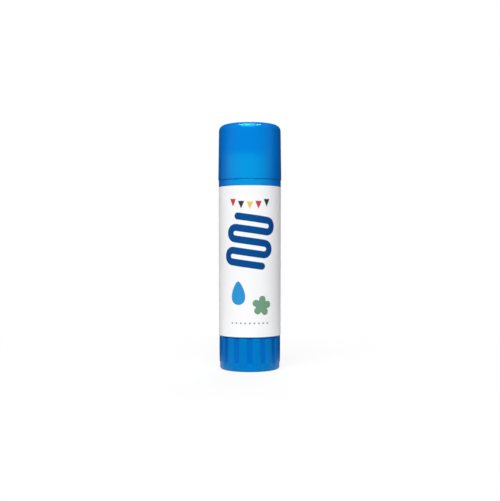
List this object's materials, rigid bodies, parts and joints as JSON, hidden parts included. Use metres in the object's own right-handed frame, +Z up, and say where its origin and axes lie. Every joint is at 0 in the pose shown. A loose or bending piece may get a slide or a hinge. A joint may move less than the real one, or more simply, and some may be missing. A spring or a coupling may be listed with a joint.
{
  "type": "twist-up glue stick",
  "caption": "Twist-up glue stick: lift-off cap, labelled barrel and ribbed knob whose screw raises a carrier with the glue.",
  "frame": {"origin": "middle of the foot, on the surface the stick stands on", "axes": "+Z up the stick's axis to the cap, -Y towards the viewer of the picture, +Y through the label's seam"},
  "size_m": [0.0306, 0.0304, 0.117],
  "materials": {
    "barrel": "glossy blue moulded plastic, as the cap",
    "label": "smooth white printed film",
    "knob": "satin blue moulded plastic",
    "spindle": "natural white moulded plastic",
    "carrier": "natural white moulded plastic",
    "glue": "soft waxy off-white",
    "cap": "glossy blue moulded plastic"
  },
  "bodies": {
    "barrel": {"barrel": "barrel", "label": "label"},
    "knob": {"twist_knob": "knob", "spindle": "spindle"},
    "carrier": {"carrier": "carrier", "glue": "glue"},
    "cap": {"cap": "cap"}
  },
  "joints": [
    {"name": "knob_turn", "type": "hinge", "parent": "barrel", "child": "knob", "pos_m": [0, 0, 0], "axis": [0, 0, 1], "range_deg": [0, 3600]},
    {"name": "carrier_lift", "type": "slide", "parent": "barrel", "child": "carrier", "axis": [0, 0, 1], "range_m": [0, 0.08]},
    {"name": "cap_pull", "type": "slide", "parent": "carrier", "child": "cap", "axis": [0, 0, 1], "range_m": [0, 0.04]}
  ],
  "couplings": [
    {"joint": "knob_turn", "follows": "carrier_lift", "rad_per_m": 785.39}
  ]
}
